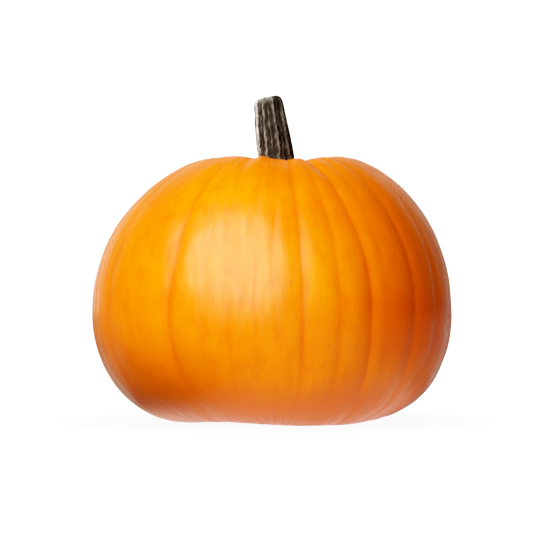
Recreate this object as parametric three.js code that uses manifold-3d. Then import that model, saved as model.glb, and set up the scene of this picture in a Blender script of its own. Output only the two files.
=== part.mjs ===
// A field pumpkin: one ribbed fruit and the dry, ridged stem that it was cut with.
// Millimetres, +Z up. Its front faces -Y, and it rests on the plane Z = 0.

import * as THREE from "three";
import { mergeVertices } from "three/addons/utils/BufferGeometryUtils.js";
import Module from "manifold-3d";

const { clamp, degToRad, euclideanModulo, lerp, smoothstep } = THREE.MathUtils;

// Fruit: half outline, from the blossom end underneath, round the belly, to the hollow at the crown
const FRUIT_WIDTH = 280;
const FRUIT_HEIGHT = 202.6;
const BELLY_HEIGHT = 83.5;
const REST_RADIUS = 67;
const SHOULDER_RADIUS = 57;
const BLOSSOM_HOLLOW = 8;
const STEM_HOLLOW = 6;

// How far the outline runs straight on from each of its turning points before it bends
const BLOSSOM_REACH = 15;
const REST_REACH_IN = 27;
const REST_REACH_OUT = 44;
const BELLY_REACH_DOWN = 45;
const BELLY_REACH_UP = 85;
const SHOULDER_REACH_OUT = 15;
const SHOULDER_REACH_IN = 23;
const SEAT_REACH = 12;

// Rows of facets on the four stretches of that outline, and their places across a rib
const OUTLINE_ROWS = [6, 10, 12, 6];
const RIB_PLACES = [0, 0.13, 0.5, 0.87];

// The crown and the base lean aside, the girth isn't quite round, and the underside has three low places
const CROWN_BEND = 5;
const BASE_BEND = 2;
const TWO_SIDED_SWELL = 1.6;
const THREE_SIDED_SWELL = 1.0;
const REST_HEIGHT = 0.3;
const REST_WAVE = 1.5;
const REST_ANGLE = 30;

// Grooves on the front, left to right: the angle at the belly in degrees from the front, the depth of
// the wide valley (0 for a crease in the middle of a rib), how far the rib after it is set back, the
// depth of the crease and of its end on the crown, how far the crown dips there, and the turn of the
// upper and lower ends
const FRONT_GROOVES = [
  { angle: -79, valley: 0.2, level: 0, crease: 0.05, crown: 0.3, dip: 0.2, crownTurn: -2, baseTurn: 4 },
  { angle: -62.2, valley: 0.4, level: 0, crease: 0.1, crown: 0.3, dip: 0.6, crownTurn: -4, baseTurn: 6 },
  { angle: -46.5, valley: 0, level: 0, crease: 0.1, crown: 0.3, dip: 0.8, crownTurn: -8, baseTurn: 5 },
  { angle: -32.7, valley: 0.85, level: 0, crease: 0.3, crown: 0.3, dip: 0.1, crownTurn: 2, baseTurn: 5 },
  { angle: -20.5, valley: 0, level: 0, crease: 0.18, crown: 0.2, dip: 1.4, crownTurn: -5.5, baseTurn: 2 },
  { angle: -13, valley: 0, level: 0, crease: 0.2, crown: 0.3, dip: 2.8, crownTurn: -7, baseTurn: 0 },
  { angle: -4.9, valley: 0, level: 0, crease: 0.18, crown: 0.2, dip: 3.1, crownTurn: -4, baseTurn: 0 },
  { angle: 0.9, valley: 0, level: 0, crease: 0.2, crown: 0.2, dip: 3.4, crownTurn: -2.5, baseTurn: 0 },
  { angle: 8.8, valley: 0.6, level: 1, crease: 0.42, crown: 0.3, dip: 3.8, crownTurn: -3.5, baseTurn: 0 },
  { angle: 20.1, valley: 0, level: 0, crease: 0.6, crown: 0.3, dip: 2.8, crownTurn: -6, baseTurn: 0 },
  { angle: 30.8, valley: 1.1, level: 1.2, crease: 0.2, crown: 0.6, dip: 3.8, crownTurn: -11, baseTurn: 0 },
  { angle: 36.5, valley: 0, level: 0, crease: 0.1, crown: 0.2, dip: 2.6, crownTurn: -8, baseTurn: -1 },
  { angle: 48.8, valley: 0.9, level: 1.3, crease: 0.15, crown: 0.3, dip: 0.6, crownTurn: -10, baseTurn: -3 },
  { angle: 61.8, valley: 0.5, level: 1.3, crease: 0.2, crown: 0.3, dip: 0, crownTurn: -4, baseTurn: -12 },
];

// Grooves on the back: evenly spread, then varied by waves so that no two ribs are alike. Every third is
// a crease alone, and the ribs come forward again step by step
const BACK_GROOVES = 15;
const BACK_ANGLE_WAVE = 2;
const BACK_VALLEY = 1.0;
const BACK_VALLEY_WAVE = 0.35;
const BACK_CREASE = 0.2;
const BACK_CREASE_WAVE = 0.08;
const BACK_CROWN = 0.5;
const BACK_CROWN_WAVE = 0.2;
const BACK_DIP = 0.8;
const BACK_TURN_WAVE = 4;

// Radians by which each of those waves turns from one groove to the next
const ANGLE_STEP = 2.4;
const VALLEY_STEP = 2.1;
const CREASE_STEP = 1.7;
const CROWN_STEP = 1.3;
const DIP_STEP = 1.9;
const CROWN_TURN_STEP = 1.7;
const BASE_TURN_STEP = 1.1;

// Ribs swell between valleys and are pinched at creases, both a little rounded. The relief and the
// levels fade at the crown and the base, and the relief at the stem and the blossom end
const VALLEY_ROUNDNESS = 4;
const VALLEY_SOFTNESS = 0.045;
const CREASE_SHARPNESS = 3;
const CREASE_SOFTNESS = 0.08;
const LEVEL_RISE_FADE = [0.6, 1];
const LEVEL_FALL_FADE = [0.3, 0.9];
const CROWN_START = 0.75;
const CROWN_VALLEY_SHARE = 0.5;
const BASE_DEPTH_SHARE = 0.15;
const STEM_FADE = [14, 44];
const BLOSSOM_FADE = [8, 46];

// A lobe of flesh that rises beside the stem at the front
const LOBE_ANGLE = -12;
const LOBE_WIDTH = 4.2;
const LOBE_HEIGHT = 1.9;

// Stem: crest radius up its length, measured from the seat in the crown
const STEM_LENGTH = 54.5;
const STEM_SUNK = 9;
const STEM_FOOT_RADIUS = 17.5;
const STEM_WAIST_RADIUS = 14.4;
const STEM_WAIST_HEIGHT = 11;
const STEM_MIDDLE_RADIUS = 14;
const STEM_NECK_RADIUS = 12;
const STEM_NECK_HEIGHT = 46;
const STEM_SHOULDER_RADIUS = 11.5;
const STEM_RIM_RADIUS = 7.4;
const STEM_DISH = 1.6;
const STEM_CURVE_ROWS = 5;

// Stem: sideways lean from foot to tip, slanted cut, and ridges with a thin one in each furrow
const STEM_FOOT_X = 3.6;
const STEM_LEAN_X = -7.6;
const STEM_LEAN_Y = 2;
const STEM_CUT_SLANT = 0.2;
const RIDGES = 9;
const RIDGE_COLUMNS = 6;
const RIDGE_HEIGHT = 2.1;
const RIDGE_PHASE = 10;
const RIDGE_TWIST = 8;
const RIDGE_SHARPNESS = 2.6;
const RIDGE_VARIATION = 0.25;
const THIN_RIDGE = 0.5;
const THIN_SHARPNESS = 4;

// Clearance between the stem's foot and the skin under it
const SEAT_GAP = 0.3;

const SKIN = { color: 0xf08a10, roughness: 0.38, metalness: 0 };
const DRY_STEM = { color: 0x6f6656, roughness: 0.85, metalness: 0 };

const wasm = await Module();
wasm.setup();

function point(radius, height) {
  return new THREE.Vector2(radius, height);
}

// Rows of the fruit's outline: radius, height and outward normal
function fruitRows() {
  const belly = FRUIT_WIDTH / 2;
  const seatHeight = FRUIT_HEIGHT - STEM_HOLLOW;
  const blossom = point(0, BLOSSOM_HOLLOW);
  const rest = point(REST_RADIUS, REST_HEIGHT);
  const girth = point(belly, BELLY_HEIGHT);
  const shoulder = point(SHOULDER_RADIUS, FRUIT_HEIGHT);
  const seat = point(0, seatHeight);
  const stretches = [
    new THREE.CubicBezierCurve(
      blossom,
      point(BLOSSOM_REACH, BLOSSOM_HOLLOW),
      point(REST_RADIUS - REST_REACH_IN, REST_HEIGHT),
      rest,
    ),
    new THREE.CubicBezierCurve(
      rest,
      point(REST_RADIUS + REST_REACH_OUT, REST_HEIGHT),
      point(belly, BELLY_HEIGHT - BELLY_REACH_DOWN),
      girth,
    ),
    new THREE.CubicBezierCurve(
      girth,
      point(belly, BELLY_HEIGHT + BELLY_REACH_UP),
      point(SHOULDER_RADIUS + SHOULDER_REACH_OUT, FRUIT_HEIGHT),
      shoulder,
    ),
    new THREE.CubicBezierCurve(
      shoulder,
      point(SHOULDER_RADIUS - SHOULDER_REACH_IN, FRUIT_HEIGHT),
      point(SEAT_REACH, seatHeight),
      seat,
    ),
  ];
  const rows = [];
  stretches.forEach((stretch, index) => {
    const count = OUTLINE_ROWS[index];
    const first = index === 0 ? 0 : 1;
    for (let step = first; step <= count; step += 1) {
      const place = stretch.getPointAt(step / count);
      const along = stretch.getTangentAt(step / count);
      rows.push({ radius: place.x, height: place.y, normal: point(along.y, -along.x) });
    }
  });
  return rows;
}

// All grooves round the fruit, in order of their angle
function allGrooves() {
  const first = FRONT_GROOVES[0];
  const last = FRONT_GROOVES[FRONT_GROOVES.length - 1];
  const spacing = (first.angle + 360 - last.angle) / (BACK_GROOVES + 1);
  const grooves = [...FRONT_GROOVES];
  for (let count = 1; count <= BACK_GROOVES; count += 1) {
    grooves.push({
      angle: last.angle + spacing * count + BACK_ANGLE_WAVE * Math.sin(ANGLE_STEP * count),
      valley: count % 3 === 2 ? 0 : BACK_VALLEY + BACK_VALLEY_WAVE * Math.cos(VALLEY_STEP * count),
      level: last.level * (1 - count / (BACK_GROOVES + 1)),
      crease: BACK_CREASE + BACK_CREASE_WAVE * Math.cos(CREASE_STEP * count),
      crown: BACK_CROWN + BACK_CROWN_WAVE * Math.cos(CROWN_STEP * count),
      dip: BACK_DIP + BACK_DIP * Math.cos(DIP_STEP * count),
      crownTurn: BACK_TURN_WAVE * Math.sin(CROWN_TURN_STEP * count),
      baseTurn: BACK_TURN_WAVE * Math.cos(BASE_TURN_STEP * count),
    });
  }
  return grooves;
}

const grooves = allGrooves();

// Share of the way from the belly up to the crown, and from the belly down to the base
function riseShare(height) {
  return clamp((height - BELLY_HEIGHT) / (FRUIT_HEIGHT - BELLY_HEIGHT), 0, 1);
}

function fallShare(height) {
  return clamp((BELLY_HEIGHT - height) / BELLY_HEIGHT, 0, 1);
}

// A groove counted on past a full turn, and its angle at a height
function grooveAt(index) {
  return grooves[euclideanModulo(index, grooves.length)];
}

function grooveAngle(index, height) {
  const groove = grooveAt(index);
  const turns = Math.floor(index / grooves.length);
  const crownTurn = groove.crownTurn * riseShare(height) ** 2;
  const baseTurn = groove.baseTurn * fallShare(height) ** 2;
  return groove.angle + 360 * turns + crownTurn + baseTurn;
}

// The first valley from a groove on, going one way round
function nearestValley(index, step) {
  let found = index;
  while (grooveAt(found).valley === 0) found += step;
  return found;
}

// 1 in the grooves at either side of a rib, 0 half way between them, rounded in the groove
function pinch(across, softness) {
  const reach = Math.min(across, 1 - across);
  return 1 - 2 * (Math.hypot(reach, softness) - softness);
}

// Depth of the nearest valley at an angle on a rib. The ribs beside it may lie on different levels
function valleyDepth(rib, angle, height) {
  const before = nearestValley(rib, -1);
  const after = nearestValley(rib + 1, 1);
  const start = grooveAngle(before, height);
  const across = clamp((angle - start) / (grooveAngle(after, height) - start), 0, 1);
  const rise = riseShare(height);
  const beside = grooveAt(across < 0.5 ? before : after);
  const valley = beside.valley * lerp(1, CROWN_VALLEY_SHARE, rise);
  const levelShare =
    1 - smoothstep(rise, ...LEVEL_RISE_FADE) - smoothstep(fallShare(height), ...LEVEL_FALL_FADE);
  const level = grooveAt(before).level;
  const nextLevel = grooveAt(across < 0.5 ? nearestValley(before - 1, -1) : after).level;
  const fall = valley + (Math.max(level, nextLevel) - level) * levelShare;
  return level * levelShare + fall * pinch(across, VALLEY_SOFTNESS) ** VALLEY_ROUNDNESS;
}

// Height of the skin above the smooth outline, at a place across a rib
function skinRelief(rib, across, angle, row) {
  const nearest = grooveAt(across < 0.5 ? rib : rib + 1);
  const crownShare = smoothstep(riseShare(row.height), CROWN_START, 1);
  const baseShare = lerp(1, BASE_DEPTH_SHARE, fallShare(row.height) ** 2);
  const crease = nearest.crease * pinch(across, CREASE_SOFTNESS) ** CREASE_SHARPNESS;
  const crown = nearest.crown * Math.cos(Math.PI * across) ** 2;
  const depth = (lerp(crease, crown, crownShare) + valleyDepth(rib, angle, row.height)) * baseShare;
  const lobe = LOBE_HEIGHT * Math.exp(-(((angle - LOBE_ANGLE) / LOBE_WIDTH) ** 2));
  const dip = lerp(grooveAt(rib).dip, grooveAt(rib + 1).dip, smoothstep(across, 0, 1)) - lobe;
  const turn = degToRad(angle);
  const swell = TWO_SIDED_SWELL * Math.sin(2 * turn) + THREE_SIDED_SWELL * Math.cos(3 * turn);
  const rest = REST_WAVE * Math.cos(3 * degToRad(angle - REST_ANGLE));
  const lift = swell * row.normal.x ** 2 + rest * Math.min(row.normal.y, 0) ** 2;
  const [start, end] = row.height > BELLY_HEIGHT ? STEM_FADE : BLOSSOM_FADE;
  return (lift - depth - dip * crownShare) * smoothstep(row.radius, start, end);
}

// A point of the skin, raised by a clearance
function skinPoint(rib, across, row, clearance) {
  const angle = lerp(grooveAngle(rib, row.height), grooveAngle(rib + 1, row.height), across);
  const lift = skinRelief(rib, across, angle, row) + clearance;
  const radius = row.radius + row.normal.x * lift;
  const height = row.height + row.normal.y * lift;
  const aside = CROWN_BEND * riseShare(row.height) ** 2 + BASE_BEND * fallShare(row.height) ** 2;
  const turn = degToRad(angle);
  return new THREE.Vector3(radius * Math.sin(turn) + aside, -radius * Math.cos(turn), Math.max(height, 0));
}

// The fruit: its outline turned round, with a line of vertices along every groove
function fruitGeometry(clearance) {
  const rows = fruitRows();
  const columns = grooves.length * RIB_PLACES.length;
  const outline = rows.map((row) => point(row.radius, row.height));
  const geometry = new THREE.LatheGeometry(outline, columns);
  const positions = geometry.getAttribute("position");
  for (let column = 0; column <= columns; column += 1) {
    const rib = Math.floor((column % columns) / RIB_PLACES.length);
    const across = RIB_PLACES[column % RIB_PLACES.length];
    rows.forEach((row, index) => {
      const place = skinPoint(rib, across, row, clearance);
      positions.setXYZ(column * rows.length + index, place.x, place.y, place.z);
    });
  }
  return geometry;
}

// Outline of the stem's crests, from its hidden foot to the dished cut
function stemOutline() {
  const foot = point(STEM_FOOT_RADIUS, -STEM_SUNK);
  const waist = point(STEM_WAIST_RADIUS, STEM_WAIST_HEIGHT);
  const neck = point(STEM_NECK_RADIUS, STEM_NECK_HEIGHT);
  const rim = point(STEM_RIM_RADIUS, STEM_LENGTH);
  const middle = point(STEM_MIDDLE_RADIUS, STEM_NECK_HEIGHT / 2);
  const path = new THREE.CurvePath();
  path.add(new THREE.LineCurve(point(0, -STEM_SUNK), foot));
  path.add(new THREE.QuadraticBezierCurve(foot, point(STEM_WAIST_RADIUS, 0), waist));
  path.add(new THREE.QuadraticBezierCurve(waist, middle, neck));
  path.add(new THREE.QuadraticBezierCurve(neck, point(STEM_SHOULDER_RADIUS, STEM_LENGTH), rim));
  path.add(new THREE.LineCurve(rim, point(0, STEM_LENGTH - STEM_DISH)));
  return path.getPoints(STEM_CURVE_ROWS);
}

// How far the stem's wall lies below its crests at an angle
function ridgeDepth(angle, rise) {
  const turned = degToRad(angle - RIDGE_PHASE - RIDGE_TWIST * rise);
  const swell = 0.5 + 0.5 * Math.cos(RIDGES * turned);
  const crest = swell ** RIDGE_SHARPNESS + THIN_RIDGE * (1 - swell) ** THIN_SHARPNESS;
  const height = RIDGE_HEIGHT * (1 - RIDGE_VARIATION * Math.sin(2 * turned));
  return height * (1 - crest);
}

function stemGeometry() {
  const outline = stemOutline();
  const columns = RIDGES * RIDGE_COLUMNS;
  const geometry = new THREE.LatheGeometry(outline, columns);
  const positions = geometry.getAttribute("position");
  const seatHeight = FRUIT_HEIGHT - STEM_HOLLOW;
  for (let column = 0; column <= columns; column += 1) {
    const angle = (360 * (column % columns)) / columns;
    const turn = degToRad(angle);
    outline.forEach((place, index) => {
      const rise = place.y / STEM_LENGTH;
      const inward = ridgeDepth(angle, rise) * smoothstep(place.x, 0, STEM_RIM_RADIUS);
      const radius = Math.max(place.x - inward, 0);
      const x = radius * Math.sin(turn);
      const slant = STEM_CUT_SLANT * x * Math.max(rise, 0) ** 3;
      positions.setXYZ(
        column * outline.length + index,
        x + STEM_FOOT_X + STEM_LEAN_X * rise,
        -radius * Math.cos(turn) + STEM_LEAN_Y * rise,
        seatHeight + place.y + slant,
      );
    });
  }
  return geometry;
}

// Closed solid of a geometry, and back again
function toSolid(geometry) {
  const bare = geometry.clone();
  bare.deleteAttribute("normal");
  bare.deleteAttribute("uv");
  const merged = mergeVertices(bare);
  const corners = merged.getIndex().array;
  const kept = [];
  for (let start = 0; start < corners.length; start += 3) {
    const [a, b, c] = corners.slice(start, start + 3);
    if (a !== b && b !== c && c !== a) kept.push(a, b, c);
  }
  const mesh = new wasm.Mesh({
    numProp: 3,
    vertProperties: merged.getAttribute("position").array,
    triVerts: new Uint32Array(kept),
  });
  return new wasm.Manifold(mesh);
}

function toGeometry(solid) {
  const mesh = solid.getMesh();
  const geometry = new THREE.BufferGeometry();
  geometry.setAttribute("position", new THREE.BufferAttribute(mesh.vertProperties, 3));
  geometry.setIndex(new THREE.BufferAttribute(mesh.triVerts, 1));
  geometry.computeVertexNormals();
  return geometry;
}

function addPiece(group, name, geometry, finish) {
  const mesh = new THREE.Mesh(geometry, new THREE.MeshStandardMaterial(finish));
  mesh.name = name;
  group.add(mesh);
}

const pumpkin = new THREE.Group();
addPiece(pumpkin, "fruit", toGeometry(toSolid(fruitGeometry(0))), SKIN);
const seatedStem = toSolid(stemGeometry()).subtract(toSolid(fruitGeometry(SEAT_GAP)));
addPiece(pumpkin, "stem", toGeometry(seatedStem), DRY_STEM);

// The origin is under the middle of the whole pumpkin
const middle = new THREE.Box3().setFromObject(pumpkin).getCenter(new THREE.Vector3());
pumpkin.position.set(-middle.x, -middle.y, 0);

export default pumpkin;
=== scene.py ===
# %% [markdown]
# # A field pumpkin
# The packed model is the frame of this lesson: one ribbed fruit and its dry stem, as plain facets, at
# their real size in metres. We grow a fine skin and a fine stem in the same places, give each a
# procedural finish, and photograph them in a small white studio.

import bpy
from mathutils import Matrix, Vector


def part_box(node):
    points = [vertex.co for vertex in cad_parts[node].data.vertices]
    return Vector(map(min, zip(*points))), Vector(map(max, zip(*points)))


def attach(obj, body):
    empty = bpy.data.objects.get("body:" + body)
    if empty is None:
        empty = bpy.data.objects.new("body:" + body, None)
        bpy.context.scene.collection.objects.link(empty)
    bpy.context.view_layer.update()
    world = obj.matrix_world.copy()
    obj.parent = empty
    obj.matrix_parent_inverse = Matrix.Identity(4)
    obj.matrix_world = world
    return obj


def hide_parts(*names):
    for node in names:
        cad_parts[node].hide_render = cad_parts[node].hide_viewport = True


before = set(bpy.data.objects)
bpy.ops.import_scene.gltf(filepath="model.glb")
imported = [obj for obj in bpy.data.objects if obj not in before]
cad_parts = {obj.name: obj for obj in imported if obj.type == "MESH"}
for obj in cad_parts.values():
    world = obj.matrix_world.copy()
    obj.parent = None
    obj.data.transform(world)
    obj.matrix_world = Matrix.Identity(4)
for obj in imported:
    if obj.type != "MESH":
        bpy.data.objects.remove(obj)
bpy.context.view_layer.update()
print("solids:", sorted(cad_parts))

# %% [markdown]
# ## The outline of the fruit
# Cut a pumpkin down the middle, and one half is a single smooth line: out from the blossom end
# underneath, round the belly, over the shoulder and into the hollow of the stem. It could be drawn
# point by point, but a Bezier curve needs only its turning points and how far the line runs straight
# on at each of them. The sizes are those of the solid fruit, in millimetres, so the skin fits it.

# %% Turning points of the outline
from collections import namedtuple

from mathutils import Vector
from mathutils.geometry import interpolate_bezier

FRUIT_WIDTH = 280
FRUIT_HEIGHT = 202.6
BELLY_HEIGHT = 83.5
REST_RADIUS = 67
REST_HEIGHT = 0.3
SHOULDER_RADIUS = 57
BLOSSOM_HOLLOW = 8
STEM_HOLLOW = 6
SEAT_HEIGHT = FRUIT_HEIGHT - STEM_HOLLOW
OUTLINE_STEPS = 300

Turn = namedtuple("Turn", "place reach_before reach_after")
OUTLINE = [
    Turn(Vector((0, BLOSSOM_HOLLOW)), Vector((0, 0)), Vector((15, 0))),
    Turn(Vector((REST_RADIUS, REST_HEIGHT)), Vector((-27, 0)), Vector((44, 0))),
    Turn(Vector((FRUIT_WIDTH / 2, BELLY_HEIGHT)), Vector((0, -45)), Vector((0, 85))),
    Turn(Vector((SHOULDER_RADIUS, FRUIT_HEIGHT)), Vector((15, 0)), Vector((-23, 0))),
    Turn(Vector((0, SEAT_HEIGHT)), Vector((12, 0)), Vector((0, 0))),
]


def curve_points(turns, steps):
    """Points along a chain of Bezier stretches."""
    points = [turns[0].place]
    for start, end in zip(turns, turns[1:]):
        leave = start.place + start.reach_after
        arrive = end.place + end.reach_before
        points += interpolate_bezier(start.place, leave, arrive, end.place, steps + 1)[1:]
    return points


outline = curve_points(OUTLINE, OUTLINE_STEPS)
travelled = [0]
for before, after in zip(outline, outline[1:]):
    travelled.append(travelled[-1] + (after - before).length)
print(f"outline: {len(outline)} points, {travelled[-1]:.0f} mm long")

# %% [markdown]
# The skin needs the outline at even steps, with the direction that faces outwards, because the ribs
# rise along that direction. We walk a share of the whole length and read both off the curve.

# %% Rows of the skin
from bisect import bisect_right

RINGS = 170
Row = namedtuple("Row", "radius height normal")


def outline_row(share):
    """The outline at a share of its length: 0 is the blossom end, and 1 is under the stem."""
    distance = share * travelled[-1]
    index = min(bisect_right(travelled, distance), len(outline) - 1)
    before, after = outline[index - 1], outline[index]
    part = (distance - travelled[index - 1]) / (travelled[index] - travelled[index - 1])
    along = (after - before).normalized()
    place = before.lerp(after, part)
    return Row(place.x, place.y, Vector((along.y, -along.x)))


rows = [outline_row(ring / RINGS) for ring in range(RINGS + 1)]
print(f"rows: {len(rows)}, one every {travelled[-1] / RINGS:.1f} mm")

# %% [markdown]
# ## The grooves
# A pumpkin's ribs are what its grooves leave standing. Some grooves are wide valleys between two
# swollen ribs, others only creases in one rib, and none runs quite straight: the ends turn aside near
# the crown and the base. A regular wave round the girth would look turned on a lathe, so each groove
# that the front shows has values of its own: its angle and turns in degrees, its depths in
# millimetres, and, as its level, how far the rib after it lies below the outline.

# %% Grooves of the front
Groove = namedtuple("Groove", "angle valley level crease crown dip crown_turn base_turn")
FRONT_GROOVES = [
    Groove(-79, valley=0.2, level=0, crease=0.05, crown=0.3, dip=0.2, crown_turn=-2, base_turn=4),
    Groove(-62.2, valley=0.4, level=0, crease=0.1, crown=0.3, dip=0.6, crown_turn=-4, base_turn=6),
    Groove(-46.5, valley=0, level=0, crease=0.1, crown=0.3, dip=0.8, crown_turn=-8, base_turn=5),
    Groove(-32.7, valley=0.85, level=0, crease=0.3, crown=0.3, dip=0.1, crown_turn=2, base_turn=5),
    Groove(-20.5, valley=0, level=0, crease=0.18, crown=0.2, dip=1.4, crown_turn=-5.5, base_turn=2),
    Groove(-13, valley=0, level=0, crease=0.2, crown=0.3, dip=2.8, crown_turn=-7, base_turn=0),
    Groove(-4.9, valley=0, level=0, crease=0.18, crown=0.2, dip=3.1, crown_turn=-4, base_turn=0),
    Groove(0.9, valley=0, level=0, crease=0.2, crown=0.2, dip=3.4, crown_turn=-2.5, base_turn=0),
    Groove(8.8, valley=0.6, level=1, crease=0.42, crown=0.3, dip=3.8, crown_turn=-3.5, base_turn=0),
    Groove(20.1, valley=0, level=0, crease=0.6, crown=0.3, dip=2.8, crown_turn=-6, base_turn=0),
    Groove(30.8, valley=1.1, level=1.2, crease=0.2, crown=0.6, dip=3.8, crown_turn=-11, base_turn=0),
    Groove(36.5, valley=0, level=0, crease=0.1, crown=0.2, dip=2.6, crown_turn=-8, base_turn=-1),
    Groove(48.8, valley=0.9, level=1.3, crease=0.15, crown=0.3, dip=0.6, crown_turn=-10, base_turn=-3),
    Groove(61.8, valley=0.5, level=1.3, crease=0.2, crown=0.3, dip=0, crown_turn=-4, base_turn=-12),
]
print("front grooves:", len(FRONT_GROOVES))

# %% [markdown]
# The grooves of the back are spread by a rule. Waves of different steps make them uneven, and because
# a wave has no random draw, the back is the same on every run.

# %% Grooves of the back
import math

BACK_GROOVES = 15
BACK_ANGLE_WAVE = 2
BACK_VALLEY = 1.0
BACK_VALLEY_WAVE = 0.35
BACK_CREASE = 0.2
BACK_CREASE_WAVE = 0.08
BACK_CROWN = 0.5
BACK_CROWN_WAVE = 0.2
BACK_DIP = 0.8
BACK_TURN_WAVE = 4
ANGLE_STEP = 2.4
VALLEY_STEP = 2.1
CREASE_STEP = 1.7
CROWN_STEP = 1.3
DIP_STEP = 1.9
CROWN_TURN_STEP = 1.7
BASE_TURN_STEP = 1.1
last_front = FRONT_GROOVES[-1]
back_spacing = (FRONT_GROOVES[0].angle + 360 - last_front.angle) / (BACK_GROOVES + 1)


def back_groove(count):
    """One of the grooves on the back: every third is a crease alone."""
    crease_alone = count % 3 == 2
    return Groove(
        angle=last_front.angle + back_spacing * count + BACK_ANGLE_WAVE * math.sin(ANGLE_STEP * count),
        valley=0 if crease_alone else BACK_VALLEY + BACK_VALLEY_WAVE * math.cos(VALLEY_STEP * count),
        level=last_front.level * (1 - count / (BACK_GROOVES + 1)),
        crease=BACK_CREASE + BACK_CREASE_WAVE * math.cos(CREASE_STEP * count),
        crown=BACK_CROWN + BACK_CROWN_WAVE * math.cos(CROWN_STEP * count),
        dip=BACK_DIP + BACK_DIP * math.cos(DIP_STEP * count),
        crown_turn=BACK_TURN_WAVE * math.sin(CROWN_TURN_STEP * count),
        base_turn=BACK_TURN_WAVE * math.cos(BASE_TURN_STEP * count),
    )


grooves = FRONT_GROOVES + [back_groove(count) for count in range(1, BACK_GROOVES + 1)]
print(f"grooves: {len(grooves)}, of which {sum(groove.valley > 0 for groove in grooves)} are valleys")

# %% [markdown]
# Where does a groove run at a given height? It keeps its angle at the belly and turns aside towards
# its ends. Grooves are counted on past a full turn, so the last rib closes on the first groove.

# %% Where a groove runs


def clamped(value):
    return min(max(value, 0), 1)


def rise_share(height):
    """0 at the belly and below, 1 at the top."""
    return clamped((height - BELLY_HEIGHT) / (FRUIT_HEIGHT - BELLY_HEIGHT))


def fall_share(height):
    """0 at the belly and above, 1 at the bottom."""
    return clamped((BELLY_HEIGHT - height) / BELLY_HEIGHT)


def groove_at(index):
    return grooves[index % len(grooves)]


def groove_angle(index, height):
    groove = groove_at(index)
    aside = groove.crown_turn * rise_share(height) ** 2 + groove.base_turn * fall_share(height) ** 2
    return groove.angle + 360 * (index // len(grooves)) + aside


def nearest_valley(index, step):
    """Index of the first valley from a groove on, going one way round."""
    while groove_at(index).valley == 0:
        index += step
    return index


valleys_beside = [(nearest_valley(rib, -1), nearest_valley(rib + 1, 1)) for rib in range(len(grooves))]
print("rib 9 lies between valleys", valleys_beside[9])

# %% [markdown]
# ## The relief of the skin
# The skin is lifted off the smooth outline by a sum of simple forms. Displacing by a texture could do
# this too, but a formula puts every groove exactly where it belongs, and the solid fruit follows the
# same one. The broad valleys come first. The ribs on their two sides may lie on different levels, as
# on the right of this pumpkin, where the ribs step down a little towards the flank.

# %% Valleys in millimetres
VALLEY_ROUNDNESS = 4
VALLEY_SOFTNESS = 0.045
CROWN_VALLEY_SHARE = 0.5
LEVEL_RISE_FADE = (0.6, 1)
LEVEL_FALL_FADE = (0.3, 0.9)


def smooth_step(value, start, end):
    """0 before start, 1 after end, and an even S between them."""
    share = clamped((value - start) / (end - start))
    return share * share * (3 - 2 * share)


def mixed(first, second, share):
    return first + (second - first) * share


def pinch(across, softness):
    """1 in the grooves at either side of a rib, 0 half way between them, rounded in the groove."""
    reach = min(across, 1 - across)
    return 1 - 2 * (math.hypot(reach, softness) - softness)


def valley_depth(rib, angle, height):
    """Depth below the outline at an angle, from the valleys at either side and their levels."""
    before, after = valleys_beside[rib]
    start, end = groove_angle(before, height), groove_angle(after, height)
    across = clamped((angle - start) / (end - start))
    level = groove_at(before).level
    beside = groove_at(before if across < 0.5 else after)
    next_level = groove_at(nearest_valley(before - 1, -1) if across < 0.5 else after).level
    valley = beside.valley * mixed(1, CROWN_VALLEY_SHARE, rise_share(height))
    level_share = 1 - smooth_step(rise_share(height), *LEVEL_RISE_FADE)
    level_share -= smooth_step(fall_share(height), *LEVEL_FALL_FADE)
    fall = valley + (max(level, next_level) - level) * level_share
    return level * level_share + fall * pinch(across, VALLEY_SOFTNESS) ** VALLEY_ROUNDNESS


print(f"valley at groove 10: {valley_depth(10, FRONT_GROOVES[10].angle, BELLY_HEIGHT):.1f} mm deep")

# %% [markdown]
# The finer forms are added to the valleys: sharper creases, dips in the crown with a small lobe beside
# the stem, a girth that isn't quite round, and three low places underneath that the pumpkin stands on.
# Everything fades out at the two poles, where the grooves would otherwise crowd into a star.

# %% Whole relief in millimetres
CREASE_SHARPNESS = 3
CREASE_SOFTNESS = 0.08
CROWN_START = 0.75
BASE_DEPTH_SHARE = 0.15
LOBE_ANGLE = -12
LOBE_WIDTH = 4.2
LOBE_HEIGHT = 1.9
STEM_FADE = (14, 44)
BLOSSOM_FADE = (8, 46)
TWO_SIDED_SWELL = 1.6
THREE_SIDED_SWELL = 1.0
REST_PLACES = 3
REST_WAVE = 1.5
REST_ANGLE = 30


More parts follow.
